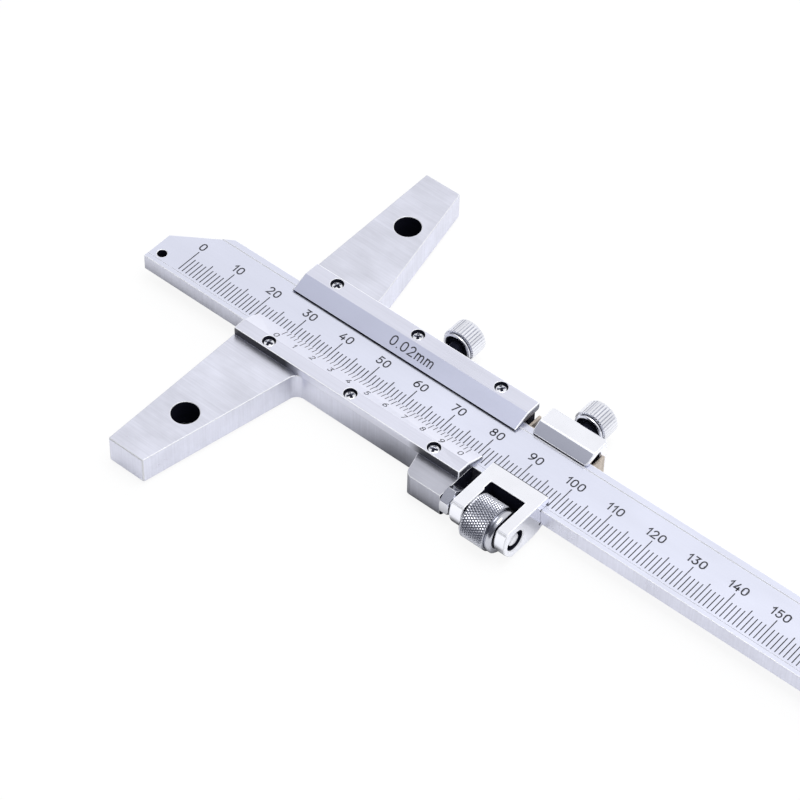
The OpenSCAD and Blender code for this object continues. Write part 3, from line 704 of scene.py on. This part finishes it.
class DEPTHGAUGE_OT_vernier_plate(bpy.types.Operator):
    """Finish the vernier plate and engrave its scale"""

    bl_idname = "depth_gauge.vernier_plate"
    bl_label = "Vernier plate and scale"

    def execute(self, context):
        s = scales()
        low, high = box_mm("vernier_plate")
        flat_width, thin_edge, margin = 3.2, 0.25, 0.08
        division = 49.0 / 50.0
        flat = brushed_finish("brushed_flat", finishes().brushed, 0.3, 0.035)
        satin = satin_finish("plate_satin", finishes().plate_satin, 0.4)
        finish = [flat, edge_finish(), satin, bore_finish(), end_finish(), side_finish()]
        dressed_plate("vernier_plate", VERNIER_SCREWS, 1.0, finish, 5)
        across, drop = high.y - low.y - flat_width, low.z + thin_edge - high.z
        reach = math.hypot(across, drop)
        plane = face_plane((s.vernier_zero_x, low.y + flat_width, high.z), math.atan2(drop, across))

        def mark_length(i):
            return s.vernier_long_mark if i % 5 == 0 else s.vernier_mark

        marks = scale_strokes(0, 50, division, lambda i: reach - margin - mark_length(i), mark_length)
        fill = fill_finish()
        engraved("vernier_graduations", "slider", fill, marks, s.vernier_mark_width, plane)
        numerals = []
        for i in range(11):
            place = i * 5 * division + s.vernier_shift
            numerals += word_strokes(str(i % 10), place, s.vernier_foot, s.vernier_numeral)
        pen = s.vernier_stroke
        engraved("vernier_numerals", "slider", fill, numerals, pen, plane, pen * 0.4)
        return {"FINISHED"}


class DEPTHGAUGE_OT_guide_plate(bpy.types.Operator):
    """Finish the guide plate and engrave its graduation value"""

    bl_idname = "depth_gauge.guide_plate"
    bl_label = "Guide plate"

    def execute(self, context):
        s = scales()
        low, high = box_mm("guide_plate")
        flat_width, thin_edge = 3.9, 0.3
        flat = brushed_finish("guide_flat", finishes().brushed, 0.28, 0.035)
        bevel = satin_finish("guide_bevel", finishes().guide, 0.34)
        finish = [flat, edge_finish(), bevel, bore_finish(), end_finish()]
        dressed_plate("guide_plate", GUIDE_SCREWS, -1.0, finish, 3)
        across, rise = high.y - flat_width - low.y, high.z - low.z - thin_edge
        plane = face_plane((s.value_x, low.y, low.z + thin_edge), math.atan2(rise, across))
        strokes = word_strokes("0.02mm", 0.0, s.value_foot, s.value_height, s.value_gap, centred=False)
        pen = s.value_stroke
        engraved("guide_plate_value", "slider", fill_finish(), strokes, pen, plane, pen * 0.4)
        return {"FINISHED"}


def cross_screw(node, turn):
    """A domed head with a tapered cross recess, over the screw's own shank."""
    low, high = box_mm(node)
    middle = (low + high) / 2
    top, radius, shank = high.z - low.z, (high.x - low.x) / 2, 0.8
    head, dome, side, proud = 0.65, 0.14, 0.06, 0.3
    recess, rim_depth = 0.75 * radius, 0.15
    outline = [(0.0, 0.0), (shank, 0.0), (shank, top - head), (radius, top - head)]
    top += proud
    outline += [(radius, top - dome - side), (radius - side, top - dome)]
    outline += [(radius * 0.7, top - dome * 0.4), (radius * 0.4, top - dome * 0.1), (0.0, top)]
    screw = turned_bar(node + "_turned", outline, 40)
    cutter = cross_cutter(top, turn)
    cut = screw.modifiers.new("recess", "BOOLEAN")
    cut.operation = "DIFFERENCE"
    cut.solver = "EXACT"
    cut.object = cutter
    bpy.context.view_layer.update()
    finished = bpy.data.meshes.new_from_object(screw.evaluated_get(bpy.context.evaluated_depsgraph_get()))
    screw.modifiers.clear()
    screw.data = finished
    bpy.data.objects.remove(cutter)
    # Painted shade: the walls and floor of the cross recess take the near-black finish.
    for face in finished.polygons:
        inner = math.hypot(face.center.x, face.center.y) < recess
        face.material_index = 1 if inner and top - head < face.center.z < top - rim_depth else 0
    place = Vector((middle.x, middle.y, low.z)) * MM
    finished.transform(Matrix.Translation(place) @ Matrix.Scale(MM, 4))
    smooth(screw, 35.0)
    return screw


def cross_cutter(top, turn):
    """A cross that narrows downwards, to cut a recess into a screw that stands on the origin."""
    span, arm, depth, spare = 1.05, 0.35, 0.5, 0.2
    corners = [(span, arm), (arm, arm), (arm, span), (-arm, span), (-arm, arm), (-span, arm)]
    corners += [(-x, -y) for x, y in corners]
    bm = bmesh.new()
    rim = bm.faces.new([bm.verts.new((x, y, 0.0)) for x, y in corners])
    foot = verts_of(bmesh.ops.extrude_face_region(bm, geom=[rim])["geom"])
    bmesh.ops.translate(bm, verts=foot, vec=(0, 0, -depth - spare))
    bmesh.ops.scale(bm, verts=foot, vec=(0.6, 0.6, 1.0))
    bmesh.ops.translate(bm, verts=bm.verts, vec=(0, 0, top + spare))
    bmesh.ops.rotate(bm, verts=bm.verts, cent=(0, 0, 0), matrix=Matrix.Rotation(turn, 3, "Z"))
    bmesh.ops.recalc_face_normals(bm, faces=bm.faces)
    return as_object("cross_cutter", as_mesh("cross_cutter", bm))


class DEPTHGAUGE_OT_plate_screws(bpy.types.Operator):
    """Model the six cross-recessed screws"""

    bl_idname = "depth_gauge.plate_screws"
    bl_label = "Plate screws"

    def execute(self, context):
        bright = polished_finish("screw_bright", finishes().polished, 0.16)
        dark = bore_finish()
        for node, turn in zip(VERNIER_SCREWS + GUIDE_SCREWS, SCREW_TURNS):
            screw = cross_screw(node, math.radians(turn))
            place_piece(screw, "slider", [bright, dark], [node])
        return {"FINISHED"}


def turned_bar(name, outline, steps, relief=None):
    """A bar turned about +Z from an outline of (radius, z) in millimetres.
    relief(angle, z, radius) gives how far a point of the surface is pressed in."""
    bm = bmesh.new()
    verts = [bm.verts.new((radius, 0.0, z)) for radius, z in outline]
    edges = [bm.edges.new(pair) for pair in zip(verts, verts[1:])]
    bmesh.ops.spin(
        bm, geom=verts + edges, cent=(0, 0, 0), axis=(0, 0, 1), dvec=(0, 0, 0), angle=math.tau, steps=steps,
        use_merge=True, use_duplicate=False)
    bmesh.ops.remove_doubles(bm, verts=bm.verts, dist=1e-5)
    if relief:
        for v in bm.verts:
            radius = math.hypot(v.co.x, v.co.y)
            if radius > 1e-6:
                pressed = radius - relief(math.atan2(v.co.y, v.co.x), v.co.z, radius)
                v.co.x *= pressed / radius
                v.co.y *= pressed / radius
    bmesh.ops.recalc_face_normals(bm, faces=bm.faces)
    return as_object(name, as_mesh(name, bm))


def stand_along(obj, axis, origin_mm):
    """Turns a bar that was made along +Z to lie along +X or +Y, from an origin in millimetres."""
    turn = Matrix.Rotation(math.pi / 2, 4, "Y") if axis == "X" else Matrix.Rotation(-math.pi / 2, 4, "X")
    obj.data.transform(Matrix.Scale(MM, 4) @ Matrix.Translation(Vector(origin_mm)) @ turn)


def triangle_wave(turns):
    """0 at whole turns and 1 half way between them."""
    part = turns % 1.0
    return 2 * part if part < 0.5 else 2 - 2 * part


def column(radius, start, end, steps):
    """Evenly spaced points up a cylinder's side."""
    return [(radius, start + (end - start) * i / steps) for i in range(steps + 1)]


def thread_relief(pitch, depth, start, end):
    """The grooves of a right-hand thread that runs out at both ends."""

    def relief(angle, z, radius):
        fade = min(1.0, max(0.0, (z - start) / pitch), max(0.0, (end - z) / pitch))
        wave = triangle_wave(z / pitch - angle / math.tau)
        return depth * fade * min(1.0, max(0.0, wave * 1.25 - 0.12))

    return relief


class DEPTHGAUGE_OT_fine_adjust(bpy.types.Operator):
    """Model the fine-adjust rod, its lock nut and the knurled nut"""

    bl_idname = "depth_gauge.fine_adjust"
    bl_label = "Fine adjustment"

    def execute(self, context):
        bright = polished_finish("rod_bright", finishes().polished, 0.14)
        self.rod(bright)
        lock_nut = dressed_node("rod_lock_nut", [(details().small_edge, 2, any_edge, -1)])
        place_piece(lock_nut, "slider", [bright], ["rod_lock_nut"])
        self.knurled_nut([
            polished_finish("knurled_bright", finishes().knurled, 0.2),
            polished_finish("knurl_groove_painted_shade", finishes().groove, 0.3)])
        return {"FINISHED"}

    def rod(self, material):
        low, high = box_mm("fine_adjust_rod")
        middle = (low + high) / 2
        proud, dome, chamfer, pitch = 0.5, 0.32, 0.3, details().fine_pitch
        radius, length = (high.y - low.y) / 2, high.x - low.x + proud
        start, end = 0.6, length - 0.7
        outline = [(0.0, 0.0), (radius, 0.0)] + column(radius, start, end, round((end - start) / pitch * 8))
        outline += [(radius, length - chamfer), (radius - 0.12, length - 0.1)]
        outline += [(radius * 0.6, length - 0.02), (0.0, length)]
        rod = turned_bar("rod_thread", outline, 48, thread_relief(pitch, pitch * 0.55, start, end))
        stand_along(rod, "X", (low.x, middle.y, middle.z))
        # Painted highlight: the rod's domed tip takes the bright edge finish so that it looks lit inside the
        # carriage's hole.
        give(rod, 1, lambda normal, at: at.x > low.x + length - dome)
        place_piece(rod, "slider", [material, edge_finish()], ["fine_adjust_rod"])
        smooth(rod, 60.0)

    def knurled_nut(self, materials):
        d = details()
        low, high = box_mm("fine_adjust_nut")
        middle = (low + high) / 2
        radius, length = (high.y - low.y) / 2, high.x - low.x
        collar, groove, bore, chamfer = 1.2, 0.3, 1.55, 0.4
        collar_radius, neck, helix_degrees, small, bevel = 4.7, 4.3, 30.0, 0.1, 0.25
        ring_outer, ring_inner, ring_slope, ring_floor = 3.3, 2.0, 0.2, length - 0.15
        knurl_end = length - collar - groove
        shoulder = knurl_end + groove
        outline = [(bore, 0.0), (bore + 0.7, 0.0), (bore + 1.0, 0.12), (radius - chamfer - 0.5, 0.12)]
        outline += [(radius - chamfer - 0.35, 0.0), (radius - chamfer, 0.0)]
        outline += column(radius, chamfer, knurl_end - small, 60)
        outline += [(radius - bevel, knurl_end), (neck, knurl_end), (neck, shoulder)]
        outline += [(collar_radius - small, shoulder), (collar_radius, shoulder + small)]
        outline += [(collar_radius, length - bevel), (collar_radius - bevel, length), (ring_outer, length)]
        outline += [(ring_outer - ring_slope, ring_floor), (ring_inner + ring_slope, ring_floor)]
        outline += [(ring_inner, length), (bore, length), (bore, 0.0)]
        lead = math.tau * radius / math.tan(math.radians(helix_degrees))

        def diamonds(angle, along, point_radius):
            if point_radius < radius - 0.02 or not chamfer <= along <= knurl_end:
                return 0.0
            fade = min(1.0, (along - chamfer) / bevel, max(0.0, (knurl_end - small - along) / bevel))
            turns, twist = angle / math.tau * d.diamond_count, along / lead * d.diamond_count
            ridge = min(triangle_wave(turns + twist), triangle_wave(turns - twist))
            return d.diamond_depth * fade * (1.0 - min(1.0, ridge * 1.35))

        nut = turned_bar("knurled_nut", outline, d.diamond_count * 6, diamonds)
        # Painted shade: faces deep in the diamond knurl take the dark groove colour.
        for face in nut.data.polygons:
            painted_groove_shade = radius - 1.0 < math.hypot(face.center.x, face.center.y) < radius - 0.62 * d.diamond_depth
            face.material_index = 1 if painted_groove_shade and chamfer + 0.2 < face.center.z < knurl_end - 0.2 else 0
        stand_along(nut, "X", (low.x, middle.y, middle.z))
        place_piece(nut, "fine_nut", materials, ["fine_adjust_nut"])
        smooth(nut, 50.0)


class DEPTHGAUGE_OT_carriage(bpy.types.Operator):
    """Finish the carriage and its bent gib"""

    bl_idname = "depth_gauge.carriage"
    bl_label = "Carriage"

    def execute(self, context):
        chrome = polished_finish("mirror_chrome", finishes().chrome, 0.05, 0.03)
        d = details()
        low, high = box_mm("carriage")
        nut_low, nut_high = box_mm("fine_adjust_nut")
        rod_low, rod_high = box_mm("fine_adjust_rod")
        rod = (rod_low + rod_high) / 2
        window_side, tip_side, clamp_side = -9.0, 6.3, 6.6
        tip_low, scale_side, nose_depth, window_margin = 2.15, 3.2, 2.0, 0.8
        hole_wall, hole_chamfer, hole_clear = 2.45, 3.0, 3.2

        def from_rod(place):
            return math.hypot(place.y - rod.y, place.z - rod.z)

        def nose_crease(middle, way):
            return abs(way.x) > 0.9 and middle.y < low.y + nose_depth and middle.z > high.z - 0.1

        def rim(middle, way):
            inside = window_side < middle.y < clamp_side and middle.z < scale_side
            return not (from_rod(middle) < hole_clear or inside)

        def clamp_tip(middle, way):
            return tip_side < middle.y < clamp_side and tip_low < middle.z < scale_side

        def shaded(normal, at):
            along = nut_low.x - window_margin < at.x < nut_high.x + window_margin
            in_window = along and low.y + 1.0 < at.y < window_side
            return from_rod(at) < hole_wall and abs(normal.x) < 0.1 or in_window and abs(normal.z) < 0.3

        def hole_rim(normal, at):
            return 0.5 < abs(normal.x) < 0.9 and from_rod(at) < hole_chamfer and not shaded(normal, at)

        # Painted highlight: the carriage's rims and the clamp's tip take the bright edge finish.
        breaks = [(d.nose_round, 5, nose_crease, -1), (d.carriage_edge, 3, rim, 2)]
        breaks += [(2 * d.seat_edge, 2, clamp_tip, 2)]
        carriage = dressed_node("carriage", breaks)
        finish = [chrome, bore_finish(), edge_finish()]
        place_piece(carriage, "carriage", finish, ["carriage"])
        # Painted shade: the clamp's thin nose, the rod's hole and the window's walls are near black; painted
        # highlight on the hole's chamfer.
        give_nose(carriage, 6.5, 1)
        give(carriage, 1, shaded)
        give(carriage, 2, hole_rim)
        gib = dressed_node("carriage_gib", [(d.small_edge, 2, any_edge, -1)])
        place_piece(gib, "carriage", [bronze_finish()], ["carriage_gib"])
        return {"FINISHED"}


class DEPTHGAUGE_OT_thumb_screws(bpy.types.Operator):
    """Model the two thumb screws"""

    bl_idname = "depth_gauge.thumb_screws"
    bl_label = "Thumb screws"

    def execute(self, context):
        bright = polished_finish("head_bright", finishes().polished, 0.2)
        for name in ("slider_lock", "carriage_lock"):
            self.stud(name, bright)
            self.head(name, bright)
        return {"FINISHED"}

    def stud(self, name, material):
        low, high = box_mm(name + "_stud")
        middle = (low + high) / 2
        radius, length, start, shade = 1.5, high.y - low.y, 0.7, 3.6
        end = length - 2.5
        outline = [(0.0, 0.0), (0.7, 0.0), (0.7, 0.3), (1.2, 0.3), (radius, 0.6)]
        outline += column(radius, start, end, 70) + [(radius, length), (0.0, length)]
        relief = thread_relief(details().fine_pitch, 0.27, start, end)
        stud = turned_bar(name + "_stud_thread", outline, 48, relief)
        stand_along(stud, "Y", (middle.x, low.y, middle.z))
        # Painted shade: the stud's end inside the knob's recess is near black.
        knob_start = box_mm(name + "_knob")[0].y
        give(stud, 1, lambda normal, at: at.y > knob_start - shade)
        place_piece(stud, name, [material, bore_finish()], [name + "_stud"])
        smooth(stud, 60.0)

    def head(self, name, material):
        d = details()
        low, high = box_mm(name + "_knob")
        middle = (low + high) / 2
        radius, length = (high.x - low.x) / 2, high.y - low.y
        rim, groove, bore, recess, floor, corner = 0.45, 0.2, 1.5, 2.85, 1.0, 0.6
        shoulder, knurl_spare = 0.17, 0.75
        start, groove_radius = rim + groove, radius - 0.65
        outline = [(bore, length - 1.2), (bore, floor), (recess - 0.3, floor), (recess - 0.1, 0.8)]
        outline += [(recess, 0.1), (recess + 0.1, 0.0), (groove_radius, 0.0), (radius - 0.48, 0.08)]
        outline += [(radius - 0.42, 0.22), (radius - 0.45, rim - 0.08), (groove_radius, rim)]
        outline += [(groove_radius, start)]
        outline += [(radius - 0.35, start + 0.02)] + column(radius, start + shoulder, length - knurl_spare, 6)
        outline += arc(radius - corner, length - corner, corner, corner, 0, 90, 6) + [(0.0, length)]

        def ridges(angle, along, point_radius):
            if along < start + 0.1 or along > length - 0.02 or point_radius < groove_radius:
                return 0.0
            wave = triangle_wave(angle / math.tau * d.ridge_count)
            fade = min(1.0, max(0.0, (point_radius - groove_radius) / 0.5), (along - start) / shoulder)
            return d.ridge_depth * fade * min(1.0, max(0.0, 1.15 - wave * 2.6))

        head = turned_bar(name + "_head", outline, d.ridge_count * 12, ridges)
        # Painted shade: the recess, the groove behind the rim and the cuts between the ridges are darkened.
        for face in head.data.polygons:
            reach, along = math.hypot(face.center.x, face.center.y), face.center.z
            dark = (reach < recess - 0.03 and along < floor + 0.1) or rim < along < start
            cut = radius - 0.6 < reach < radius - 0.6 * d.ridge_depth and start + 0.1 < along < length - 0.7
            face.material_index = 1 if dark else 2 if cut else 0
        stand_along(head, "Y", (middle.x, low.y, middle.z))
        finish = [material, bore_finish(), polished_finish("ridge_groove_painted_shade", finishes().knurled, 0.3)]
        place_piece(head, name, finish, [name + "_knob"])
        smooth(head, 40.0)


def outside_box(tree, place, low, high):
    """How far a place on the floor lies outside an upright box; it fades five times as slowly towards -X."""
    x, y = coordinates(tree, place)[:2]
    slow = 0.2
    behind = arithmetic(tree, "MULTIPLY", arithmetic(tree, "SUBTRACT", low[0], x), slow)
    gaps = [behind, arithmetic(tree, "SUBTRACT", x, high[0])]
    gaps += [arithmetic(tree, "SUBTRACT", low[1], y), arithmetic(tree, "SUBTRACT", y, high[1])]
    return arithmetic(tree, "MAXIMUM", *gaps)


def floor_material(studio):
    """A white card that keeps the object's shadow, with painted shade close in front of the slider and under
    the base's holes. The camera sees all but the holes' part as white, and metal mirrors some of that white."""
    material = bpy.data.materials.new("white_floor")
    material.use_nodes = True
    tree = material.node_tree
    shader = tree.nodes["Principled BSDF"]
    shader.inputs["Roughness"].default_value = 0.9
    shader.inputs["Specular IOR Level"].default_value = 0.0
    place = add_node(tree, "TexCoord").outputs["Object"]
    base_high, carriage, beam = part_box("base_frame")[1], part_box("carriage")[1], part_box("beam")[0]
    front, back, slider_start, yoke_start = -0.0155, 0.014, 0.041, 0.052
    yoke_reach, yoke_inset = 0.004, 0.004
    tip_front, tip_back, tip_end = -0.0095, 0.008, -0.004
    shade_level, shade_fade, hole_fade, card_hidden = 0.2, 0.004, 0.0004, 0.9
    # Painted shade: boxes that darken the floor in front of the slider, the yoke and the beam's tip, and
    # under the base's holes.
    slider = outside_box(tree, place, (slider_start, front), (base_high.x, back))
    yoke = outside_box(tree, place, (yoke_start, front - yoke_reach), (carriage.x - yoke_inset, back))
    tip = outside_box(tree, place, (beam.x, tip_front), (tip_end, tip_back))
    nearest = arithmetic(tree, "MINIMUM", tip, slider, yoke)
    holes = []
    for x, y, radius in BASE_HOLES:
        low, high = Vector((x - radius, y - radius)) * MM, Vector((x + radius, y + radius)) * MM
        holes.append(outside_box(tree, place, low, high))
    lit = ranged(tree, arithmetic(tree, "MINIMUM", *holes), 0.0, 1.0, 0.0, hole_fade)
    shade = arithmetic(tree, "MULTIPLY", ranged(tree, nearest, shade_level, 1.0, 0.0, shade_fade), lit)
    path = add_node(tree, "LightPath")
    shown = arithmetic(tree, "MULTIPLY", path.outputs["Is Camera Ray"], lit)
    tint(tree, shader, (1.0, 1.0, 1.0), arithmetic(tree, "MAXIMUM", shade, shown))
    mirrored = arithmetic(tree, "MAXIMUM", path.outputs["Is Glossy Ray"], path.outputs["Is Transmission Ray"])
    mirrored = arithmetic(tree, "MULTIPLY", mirrored, shade, studio.floor_glow)
    seen = arithmetic(tree, "MULTIPLY", shown, card_hidden)
    glow = add_node(tree, "Emission", Strength=studio.backdrop)
    mix = add_node(tree, "MixShader", Fac=arithmetic(tree, "MAXIMUM", seen, mirrored))
    tree.links.new(shader.outputs["BSDF"], mix.inputs[1])
    tree.links.new(glow.outputs["Emission"], mix.inputs[2])
    tree.links.new(mix.outputs["Shader"], tree.nodes["Material Output"].inputs["Surface"])
    return material


class DEPTHGAUGE_OT_stage(bpy.types.Operator):
    """Set up the camera, the white floor and the light"""

    bl_idname = "depth_gauge.stage"
    bl_label = "Studio"

    def execute(self, context):
        studio = context.scene.gauge_studio
        self.camera(context, studio)
        self.floor(studio)
        self.sky(context, studio)
        self.lamp(studio)
        context.scene.view_settings.view_transform = "Standard"
        return {"FINISHED"}

    def camera(self, context, studio):
        data = bpy.data.cameras.new("photo_camera")
        data.lens = studio.lens
        data.sensor_width = 36.0
        data.sensor_fit = "HORIZONTAL"
        data.shift_x, data.shift_y = studio.shift
        data.clip_start, data.clip_end = 0.01, 20.0
        camera = as_object("photo_camera", data)
        camera.matrix_world = (
            Matrix.Translation(Vector(studio.eye)) @ Matrix.Rotation(studio.heading, 4, "Z")
            @ Matrix.Rotation(studio.tilt, 4, "X") @ Matrix.Rotation(studio.roll, 4, "Z"))
        context.scene.camera = camera

    def floor(self, studio):
        half_width, clearance = 3.0, 0.02 * MM
        bm = bmesh.new()
        bmesh.ops.create_grid(bm, x_segments=1, y_segments=1, size=half_width)
        lowest = min(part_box(node)[0].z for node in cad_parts)
        bmesh.ops.translate(bm, verts=bm.verts, vec=(0, 0, lowest - clearance))
        mesh = as_mesh("floor", bm)
        mesh.materials.append(floor_material(studio))
        as_object("floor", mesh)

    def sky(self, context, studio):
        """White where the camera looks; bright behind the gauge and dim on the camera's side elsewhere."""
        bright_way, dim_end, bright_end = Vector((0.15, 0.6, 0.79)).normalized(), 0.2, 0.62
        cool, white = (0.86, 0.9, 1.12, 1.0), (1.0, 1.0, 1.0, 1.0)
        world = bpy.data.worlds.new("studio_white")
        context.scene.world = world
        world.use_nodes = True
        tree = world.node_tree
        background = tree.nodes["Background"]
        lean = add_node(tree, "VectorMath", operation="DOT_PRODUCT")
        lean.inputs[1].default_value = bright_way
        tree.links.new(add_node(tree, "TexCoord").outputs["Generated"], lean.inputs[0])
        level = ranged(tree, lean.outputs["Value"], studio.dim, studio.bright, dim_end, bright_end)
        tone = add_node(tree, "Mix", data_type="RGBA", Factor=level)
        tone.inputs[6].default_value = cool
        tone.inputs[7].default_value = white
        tree.links.new(tone.outputs[2], background.inputs["Color"])
        seen = add_node(tree, "LightPath").outputs["Is Camera Ray"]
        tree.links.new(blended(tree, seen, level, studio.backdrop), background.inputs["Strength"])

    def lamp(self, studio):
        diameter, aimed_at, offset = 0.5, Vector((0.05, 0.0, 0.0)), Vector((0.08, 0.06, 0.8))
        data = bpy.data.lights.new("soft_lamp", "AREA")
        data.shape = "DISK"
        data.size = diameter
        data.energy = studio.lamp_watts
        lamp = as_object("soft_lamp", data)
        place = aimed_at + offset
        aim = aimed_at - place
        lamp.matrix_world = Matrix.Translation(place) @ aim.to_track_quat("-Z", "Y").to_matrix().to_4x4()


class DEPTHGAUGE_PT_panel(bpy.types.Panel):
    """Lists the steps that dress the depth gauge"""

    bl_idname = "DEPTHGAUGE_PT_panel"
    bl_label = "Depth Gauge"
    bl_space_type = "VIEW_3D"
    bl_region_type = "UI"
    bl_category = "Depth Gauge"

    def draw(self, context):
        for operator in OPERATORS:
            self.layout.operator(operator.bl_idname)
        for group in GROUPS:
            box = self.layout.box()
            settings = getattr(context.scene, group)
            for name in GROUPS[group].__annotations__:
                box.prop(settings, name)


GROUPS = {
    "gauge_scales": GaugeScales,
    "gauge_details": GaugeDetails,
    "gauge_finishes": GaugeFinishes,
    "gauge_studio": GaugeStudio,
}
OPERATORS = [
    DEPTHGAUGE_OT_stage,
    DEPTHGAUGE_OT_base,
    DEPTHGAUGE_OT_beam,
    DEPTHGAUGE_OT_vernier_plate,
    DEPTHGAUGE_OT_guide_plate,
    DEPTHGAUGE_OT_plate_screws,
    DEPTHGAUGE_OT_fine_adjust,
    DEPTHGAUGE_OT_carriage,
    DEPTHGAUGE_OT_thumb_screws,
]


def register():
    for cls in [*GROUPS.values(), *OPERATORS, DEPTHGAUGE_PT_panel]:
        bpy.utils.register_class(cls)
    for name, cls in GROUPS.items():
        setattr(bpy.types.Scene, name, bpy.props.PointerProperty(type=cls))


def unregister():
    for name in GROUPS:
        delattr(bpy.types.Scene, name)
    for cls in reversed([*GROUPS.values(), *OPERATORS, DEPTHGAUGE_PT_panel]):
        bpy.utils.unregister_class(cls)


def main():
    register()
    for operator in OPERATORS:
        area, name = operator.bl_idname.split(".")
        getattr(getattr(bpy.ops, area), name)()


if __name__ == "__main__":
    main()
